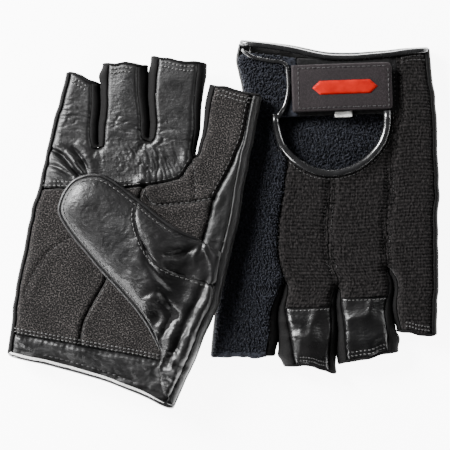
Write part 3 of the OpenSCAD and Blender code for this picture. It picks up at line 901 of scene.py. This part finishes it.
def lining(hand):
    """Towelling inside the wrist, bulging up a little in the half-moon, and the hidden elastic."""
    outline = curve([(17, 31), (50, 30), (88, 31), (90, 50), (80, 66), (60, 74), (38, 72),
                     (22, 60), (17, 31)], 5)[:-1]

    def surface(p, proud=0.0):
        rel = np.hypot((p[:, 0] - VENT[0]) / 36, (p[:, 1] - 46) / 30)
        z = 2.6 + 4.2 * bell(rel, 0.85) + 0.6 * (noise(p[:, 0] / 9, p[:, 1] / 9, 51) - 0.5) + proud
        return np.column_stack([hand.fanned(p), z])

    plan, faces, _ = fill(outline, 1.8)
    add_object(hand, "wrist_lining_cloth", surface(plan), faces, "glove", M["towel"],
                    ["wrist_lining"], "towelling", plan, thick=0.8)
    fine = hand.side == "left"
    keep = lambda p: np.hypot((p[:, 0] - VENT[0]) / 33, (p[:, 1] - VENT[1]) / 33) < 1
    v, f = towel_loops(surface, outline, 1.15 if fine else 2.2, 6, 1.2, 0.27 if fine else 0.4, keep)
    add_object(hand, "wrist_lining_pile", v, f, "glove", M["towel"], (), "towelling")
    strip = np.array([(18, 4), (66, 3), (68, 9.5), (18, 10.5)], float)
    plan, faces, _ = fill(strip, 2.0, 1.0)
    v = np.column_stack([plan, 2.4 + 0.25 * np.cos(plan[:, 0] * 2.2)])
    add_object(hand, "cuff_elastic_tape", v, faces, "glove", M["elastic"],
                    ["cuff_elastic"], "elastic", plan, thick=0.6)


def trims(hand):
    """The bound hem of the wrist, the hems of the finger ends and the piping of the half-moon."""
    line = evenly(HEM, 1.5)
    short = line + np.column_stack([np.zeros(len(line)), 1.6 * np.sin(np.linspace(0, np.pi, len(line)))
                                    + 0.8])
    v_palm = hand.skin(line, -1, 0.2)
    v_back = hand.skin(short, 1, 0.2)[::-1]
    path = np.vstack([v_palm, v_back])
    for _ in range(3):
        path = (np.roll(path, 1, axis=0) + 2 * path + np.roll(path, -1, axis=0)) / 4
    path[:, 2] = np.clip(path[:, 2], 1.4, None)
    add_tube(hand, "cuff_binding_tape", path, 1.55, 12, 0.7, "glove", M["gloss"], ["cuff_binding"],
             "gloss_trim", True)
    # A near-white strip of thread just inside the palm's hem: a painted highlight, standing in for the line
    # of light on the glossy binding
    highlight_welt = hand.skin(line[1:-3] + [0, 0.75], -1, 1.75)
    last = len(highlight_welt) - 1
    thin = np.interp(np.arange(last + 1), [0, 3, last - 8, last], [0.3, 0.65, 0.6, 0.2])
    add_object(hand, "cuff_welt_painted_highlight", *tube(highlight_welt, thin, 8), "glove", M["welt_highlight"])
    ends = [(ULNAR[-1], SLIT_LEFT[0][0]), (SLIT_RIGHT[0][-1], SLIT_LEFT[1][0]),
            (SLIT_RIGHT[1][-1], SLIT_LEFT[2][0]), (SLIT_RIGHT[2][-1], RADIAL[-1])]
    parts = []
    for a, b in ends:
        u = np.linspace(0.02, 0.98, 26)[:, None]
        p = a + (b - a) * u
        palm_line, back_line = hand.skin(p, -1, -0.45), hand.skin(p, 1, -0.45)[::-1]
        loop = np.vstack([palm_line, back_line])
        loop = (np.roll(loop, 1, axis=0) + 2 * loop + np.roll(loop, -1, axis=0)) / 4
        if hand.side == "left":
            loop[:, 2] = np.clip(loop[:, 2], 0.8, None)
        parts.append(tube(loop, 0.75, 8, True))
    v, f = gather(parts)
    add_object(hand, "finger_hem_edges", v, f, "glove", M["gusset"], ["finger_hems"],
               "gusset_fabric")
    line = np.linspace(flange_right(2, 1)[-1], RADIAL[-1] - [0.6, 0], 24) - [0, 0.6]
    fat = 1.25 + 0.7 * noise(np.arange(24) / 2.1, 0 * line[:, 0], 61)
    add_tube(hand, "terry_hem_roll", hand.skin(line, 1, -0.5), fat, 10, 0.9, "glove", M["towel"], (),
             "towelling")
    add_tube(hand, "vent_piping_tube", hand.skin(vent_arc(-4, 184, -0.4), 1, 0.8), 2.0, 14, 0.7, "glove",
             M["gloss"], ["vent_piping"], "gloss_trim")


def threads(hand):
    """Every stitched line of the glove, as real thread."""
    down = lambda p: hand.skin(p, -1, 0.12)
    up = lambda p: hand.skin(p, 1, 0.12)
    # These rows lie along seam grooves and take the darker copy of the thread, as painted shade
    shaded_rows = [stitch_row(lambda p: hand.skin(p, -1, -0.05), path, w, r=0.22)
             for path, w in ((HEEL_SEAM, 0.2), (INDEX_LINE, 0.2), (QUILT, 0.0), (PAD_SEAM, -1.4),
                             (INDEX_SEAM, 1.5), (SIDE_HIGH, 1.6))]
    rows = []
    for path, offsets in ((PALM_SEAM, (1.5, 3.6)), (BAND[:-12], (0.9, 2.7))):
        rows += [stitch_row(down, path, w, *PALM_STITCH) for w in offsets]
    shaded_rows.append(stitch_row(down, HEM[4:-6] + [0, 3.4]))
    for a, b in finger_ends(-1):
        line = np.linspace(a + (b - a) * 0.04, b - (b - a) * 0.04, 12)
        rows += [stitch_row(down, line - [0, w], 0, *PALM_END_STITCH) for w in (2.2, 4.4)]
    for path, offsets in ((RIB_MID, (1.8, -1.8)), (RIB_LITTLE[2:], (1.7, -1.7)),
                          (vent_arc(-2, 182, 2.6), (0.0,))):
        shaded_rows += [stitch_row(up, path, w, *BACK_STITCH) for w in offsets]
    shaded_rows += [stitch_row(up, curve([(16, y + 1), (9, y - 0.3), (2, y)]), 0, *WRIST_STITCH)
              for y in (4.0, 6.2)]
    for a, b in finger_ends(1)[:3]:
        line = np.linspace(a + (b - a) * 0.05, b - (b - a) * 0.05, 12)
        rows += [stitch_row(up, line - [0, w], 0, *BACK_END_STITCH) for w in (2.4, 4.3)]
    for y, k in ((PATCH_RING_Y, 0), (PATCH_MIDDLE_Y, 1)):
        a, b = clip_y(flange_right(k, 1), y)[-1], clip_y(flange_left(k + 1, 1), y)[-1]
        line = np.linspace(a + [1.0, 1.2], b + [-1.0, 1.2], 12)
        rows.append(stitch_row(up, line, 0, *PATCH_STITCH))
    for part, found, look in (("thread", rows, "thread"), ("seam_thread", shaded_rows, "thread_painted_shade")):
        v, f = gather([r for r in found if len(r[0])])
        add_object(hand, part, v, f, "glove", M[look])


# ---------------------------------------------------------------- closure strap
def strap(hand):
    x1, y0 = STRAP_END
    length, width = STRAP_SIZE
    x0, y1 = x1 - length, y0 + width
    cx, cy = (x0 + x1) / 2, (y0 + y1) / 2

    def tab(p, proud=0.0):
        crown = 0.5 * (1 - ((p[:, 0] - cx) / 25) ** 2) + 0.25 * (noise(p[:, 0] / 14, p[:, 1] / 12, 61) - 0.5)
        return np.column_stack([p, STRAP_Z + 1.5 + crown + proud])

    corner = 2.0
    outline = np.array([(x0 + corner, y0), (x1 + 3, y0), (x1 + 3, y1), (x0 + corner, y1),
                        (x0 + 0.6, y1 - 0.6), (x0, y1 - corner), (x0, y0 + corner), (x0 + 0.6, y0 + 0.6)])
    plan, faces, near = fill(outline, 1.1)
    stitch_dip = 0.22 * bell(near - 1.9, 0.6)
    verts = tab(plan, -0.45 * bell(near, 0.5) - stitch_dip)
    webbing = add_object(hand, "strap_tab_webbing", verts, faces, None, M["webbing"],
                         ["strap_tab"], "webbing", plan, thick=1.5)
    hooks = np.array([(x0 + 2, y0 + 2), (x1 - 10, y0 + 2), (x1 - 10, y1 - 2), (x0 + 2, y1 - 2)])
    plan, faces, _ = fill(hooks, 2.0)
    verts = tab(plan, -1.6)
    gx, gy = np.meshgrid(np.arange(x0 + 3, x1 - 11, 1.7), np.arange(y0 + 3, y1 - 3, 1.7))
    at = np.column_stack([gx.ravel(), gy.ravel()])
    base = tab(at, -2.1)
    parts = [(verts, faces)]
    for b in base:
        hook = b + np.array([(0, 0, 0), (0.0, 0, -0.35), (0.25, 0, -0.55), (0.55, 0, -0.45)])
        parts.append(tube(hook, [0.2, 0.16, 0.14, 0.1], 5))
    v, f = gather(parts)
    add_object(hand, "hook_tape_hooks", v, f, "strap", M["hooks"], ["hook_tape"], "hooks")
    shape = np.array([(-17, 0), (-13, -3.6), (13, -3.6), (17, 0), (13, 3.6), (-13, 3.6)]) + [cx, cy]
    plan, faces, near = fill(shape, 0.9)
    add_object(hand, "strap_badge_mark", tab(plan, 0.55 - 0.4 * bell(near, 0.45)), faces,
                    "strap", M["badge"], ["strap_badge"], "badge", plan, thick=0.8)
    rim = join([(x0 + 1.9, y0 + 1.9)], [(x1 - 0.5, y0 + 1.9)], [(x1 - 0.5, y1 - 1.9)],
               [(x0 + 1.9, y1 - 1.9)], [(x0 + 1.9, y0 + 1.9)])
    v, f = stitch_row(tab, rim, 0.0, *STRAP_STITCH)
    sewing = add_object(hand, "strap_thread", v, f, None, M["thread_grey"])
    start, end = hand.place(np.array([(x1 + 3.0, cy, STRAP_Z), (x1 - 5.0, cy, STRAP_Z)]))
    for piece in (webbing, sewing):
        hand.name("glove")
        hand.name("strap")
        tuple(start)
        tuple(end)
        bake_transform(piece)
    # The bound edge of the terry panel, from the wrist past the strap's root to the half-moon
    edge = evenly(curve([(90.4, -4.6), (87, 0.2), (82.6, 2.6), (78, 3.8), (75.4, 6.5), (74.6, 12),
                         (74.8, 20), (77, 28), (81.2, 34)]), 1.0)
    thick = np.interp(along(edge), [0, 3, 40, 52], [0.8, 1.15, 1.15, 1.7])
    add_tube(hand, "terry_edge_binding", hand.skin(edge, 1, 0.75), thick, 12, 0.6, "glove", M["gloss"], (),
             "gloss_trim")
    # A white tab peeking from under the strap's edge: a painted highlight, standing in for the light caught
    # by the glossy edge under the strap
    lab = np.array([(42, 31.4), (51, 31.4), (51, 34.6), (42, 34.6)], float)
    plan, faces, _ = fill(lab, 0.8)
    z = THICK + 0.9 + 0.2 * np.sin(plan[:, 0] / 1.6)
    add_object(hand, "under_strap_highlight_tab", np.column_stack([plan, z]), faces, "glove",
                    M["label"], ["woven_label"], "label", plan, thick=0.35)


# ---------------------------------------------------------------- thumbs
class Thumb:
    """A thumb lying on or beside its glove: its outline, its root line and its height over the palm."""

    def __init__(self, edge, root, seam_line, split, base, tall, low):
        self.edge = curve(edge, 8)
        self.root = np.array(root, float)
        self.seam = curve(seam_line, 8)
        self.split = split
        self.base, self.tall, self.low = base, tall, low
        d = self.root[1] - self.root[0]
        self.dir = d / np.linalg.norm(d)

    def from_root(self, p):
        """Distance from the root line, positive towards the thumb's tip."""
        rel = p - self.root[0]
        cross = self.dir[0] * rel[:, 1] - self.dir[1] * rel[:, 0]
        tip = self.edge[len(self.edge) // 2] - self.root[0]
        return cross * np.sign(self.dir[0] * tip[1] - self.dir[1] * tip[0])

    def along_root(self, p):
        return (p - self.root[0]) @ self.dir

    def wrinkles(self, p):
        """Long soft folds that run from the wrist up the thumb, short ones at the crotch, and creases."""
        out, up = self.from_root(p), self.along_root(p)
        wrist = self.root[0] + self.dir * 2
        z = 2.3 * folds(p, wrist, 4, 34, 73) + 1.9 * folds(p, self.root[1], 6, 17, 74)
        z += 2.4 * (ridge(noise(up / 11 + out / 70 + 0.3, out / 42, 72)) - 0.5) * (1 - smooth(out, 20, 48))
        z += 1.0 * (noise(p[:, 0] / 18, p[:, 1] / 18, 71) - 0.5)
        for path, depth in zip(THUMB_FOLDS, (3.0, 1.8, 1.3, 1.6, 1.0)):
            z += deep_fold(p, path, depth, 1.5)
        fine = creases(out / 16, up / 5.5, 75) * (0.15 + 0.85 * bell(out - 10, 17))
        return z - 0.32 * fine - 0.10 * creases(p[:, 0] / 6, p[:, 1] / 6, 76, 0.04)

    def height(self, p, outer, under=None):
        """Height over the palm plane of the thumb's outer or inner face; under is the glove's own skin."""
        d, _ = distance(p, self.edge)
        u = np.clip(d / 15.0, 0, 1)
        profile = 0.55 * np.sin(u * np.pi / 2) + 0.45 * np.sqrt(1 - (1 - np.clip(d / 6, 0, 1)) ** 2)
        rise = smooth(self.from_root(p), -2, 20)
        middle = self.base + 2.0 * rise
        if not outer:
            dents = 1.1 * (noise(p[:, 0] / 14, p[:, 1] / 14, 77) - 0.5) - 0.25 * creases(
                self.from_root(p) / 12, self.along_root(p) / 6, 78)
            return middle - self.low * profile * rise - dents * np.clip(d / 6, 0, 1)
        z = middle + self.tall * profile * (0.25 + 0.75 * rise)
        z += self.wrinkles(p) * np.clip(d / 6, 0, 1)
        if under is not None:
            t = smooth(self.from_root(p), -6, 14)
            near_edge = bell(distance(p, RADIAL)[0] - 2.6, 1.6)
            low = under + 0.9 + 0.55 * self.wrinkles(p) - 1.7 * near_edge
            z = (1 - t) * low + t * z
            z = np.logaddexp(3 * z, 3 * (under + 0.5 - 2.2 * near_edge)) / 3
        return z


FOLDED = Thumb([(79.5, 18), (66.5, 34), (42, 52.6), (19, 71), (13.2, 83), (18, 94.5), (32, 99.5),
                (52, 91), (70, 82.6), (89, 77)], [(79.5, 18), (89, 77)],
               [(52, 91), (54.0, 82), (62, 69), (71, 62), (86.2, 58), (97, 57)], 56, 0.2, 6.4, 1.7)
OPEN = Thumb([(97, 20), (116, 48), (134, 75), (148, 96), (151, 109), (142, 117), (128, 109),
              (106, 78)], [(97, 20), (106, 78)], [(128, 109), (125, 96), (116, 82), (101, 52)], 48,
             0.3, 1.3, 1.5)
OPEN_Z = 4.9            # the open thumb's faces lie about this height


def thumb(hand):
    """The thumb of a glove: two leather halves, the second outer panel and the sewn edge all round."""
    folded = hand.side == "right"
    t = FOLDED if folded else OPEN

    def surface(outer):
        """A face of the thumb: over the palm when it is folded, beside the index edge when it is open."""
        def face(p, proud=0.0):
            if folded:
                under = -hand.skin(p, -1)[:, 2] if outer else None
                return np.column_stack([hand.fanned(p), -(t.height(p, outer, under) + proud)])
            return np.column_stack([p, OPEN_Z - t.height(p, outer) - proud])
        return face

    outer, inner = surface(True), surface(False)
    n = t.split
    if folded:
        edge_side = beside(evenly(RADIAL, 1.2), 2.6)
        front = join(t.edge[: n + 1], t.seam[1:], between(edge_side, -6, 56)[::-1],
                     [(90, -7)], [(85, -3)], [(82, 4)], [(80, 12)])
        crotch = join(t.edge[n:], between(edge_side, 58, 75)[::-1], t.seam[::-1][:-1])
        whole = join(t.edge, [(93, 76)], [(91, 54)], [(83.5, 16)])
    else:
        front = join(t.edge[: n + 1], t.seam[1:])
        crotch = join(t.edge[n:], t.seam[::-1][:-1])
        whole = t.edge
    made = []
    for part, outline, face, puff in (("thumb_front", front, outer, 0.0),
                                      ("thumb_crotch_panel", crotch, outer, 0.3),
                                      ("thumb_back", whole, inner, 0.0)):
        plan, faces, near = fill(outline, 0.75 if folded and face is outer else 1.2)
        dip = -0.55 * bell(near, 0.9) + puff * (1 - bell(near, 4))
        verts = face(plan, dip)
        ob = add_object(hand, part + "_skin", verts, faces, None, M["thumb_leather"],
                        [part], "leather", plan, flip=part != "thumb_back", thick=WALL)
        made.append(ob)
    edge = evenly(t.edge, 1.2)
    h = (t.height(edge, True) + t.height(edge, False)) / 2
    z = -h if folded else OPEN_Z - h
    path = np.column_stack([hand.fanned(edge) if folded else edge, z])
    thin = np.interp(t.from_root(edge), [-2, 6, 14], [0.3, 0.9, 1.15])
    made.append(add_tube(hand, "thumb_seam_edge", path, thin, 12, 0.6, None, M["thumb_leather"],
                         ["thumb_seam"], "leather"))
    sewn = lambda p: outer(p, 0.1)
    border = beside(t.edge, -2.2 if folded else 2.2)[6:-6]
    rows = [stitch_row(sewn, t.seam[3:], -1.6, *THUMB_STITCH),
            stitch_row(sewn, border, 0.0, *THUMB_EDGE_STITCH)]
    v, f = gather([r for r in rows if len(r[0])])
    made.append(add_object(hand, "thumb_thread", v, f, None, M["thread"]))
    # A line across the thumb's root is worked out but not used; each piece has its transform baked into its
    # mesh
    across = np.array([t.dir[1], -t.dir[0]])
    if t.from_root(np.array([t.root[0] + across]))[0] < 0:
        across = -across
    middle = t.root.mean(axis=0)
    z = -2.5 if folded else 2.7
    start = hand.place(np.array([[*(middle - across * 5), z]]))[0]
    end = hand.place(np.array([[*(middle + across * 12), z]]))[0]
    for ob in made:
        hand.name("glove")
        hand.name("thumb")
        tuple(start)
        tuple(end)
        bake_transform(ob)


# ---------------------------------------------------------------- the pair
def glove(side):
    hand = Hand(side)
    palm(hand)
    back(hand)
    gussets(hand)
    lining(hand)
    trims(hand)
    threads(hand)
    strap(hand)
    thumb(hand)


FLOOR_GLOW = 8.0        # emission that brings the floor near white
WORLD_LIGHT = 0.12
LENS, SENSOR = 120, 36  # millimetres
CAMERA_AT = (0.0015, -0.0022, 0.79)


def area_light(name, location, target, size, power):
    data = bpy.data.lights.new(name, "AREA")
    data.shape = "DISK"
    data.size = size
    data.energy = power
    ob = bpy.data.objects.new(name, data)
    ob.location = location
    ob.rotation_euler = (Vector(target) - Vector(location)).to_track_quat("-Z", "Y").to_euler()
    bpy.context.scene.collection.objects.link(ob)


def studio():
    """A glowing white floor, a large light from the upper left, three weaker ones and a dim world."""
    bpy.ops.mesh.primitive_plane_add(size=6, location=(0, 0, -0.0004))
    floor = bpy.context.object
    floor.name = "studio_floor"
    s = Shader("studio_floor", (0.92, 0.92, 0.92), 0.9, Emission_Color=(1, 1, 1, 1),
               Emission_Strength=FLOOR_GLOW)
    floor.data.materials.append(s.material)
    area_light("key", (-0.88, 0.62, 0.60), (0, 0, 0), 0.50, 62)
    area_light("side", (0.95, 0.35, 0.40), (0, 0, 0), 0.35, 4)
    area_light("front", (-0.85, -0.70, 0.42), (0, 0, 0), 0.35, 12)
    area_light("rim", (-1.00, 0.10, 0.30), (-0.04, 0, 0), 0.25, 5)
    world = bpy.data.worlds.new("world")
    world.use_nodes = True
    world.node_tree.nodes["Background"].inputs[0].default_value = (1, 1, 1, 1)
    world.node_tree.nodes["Background"].inputs[1].default_value = WORLD_LIGHT
    bpy.context.scene.world = world
    data = bpy.data.cameras.new("camera")
    data.lens = LENS
    data.sensor_width = SENSOR
    camera = bpy.data.objects.new("camera", data)
    camera.location = CAMERA_AT
    bpy.context.scene.collection.objects.link(camera)
    bpy.context.scene.camera = camera


studio()
for name in ("left", "right"):
    glove(name)
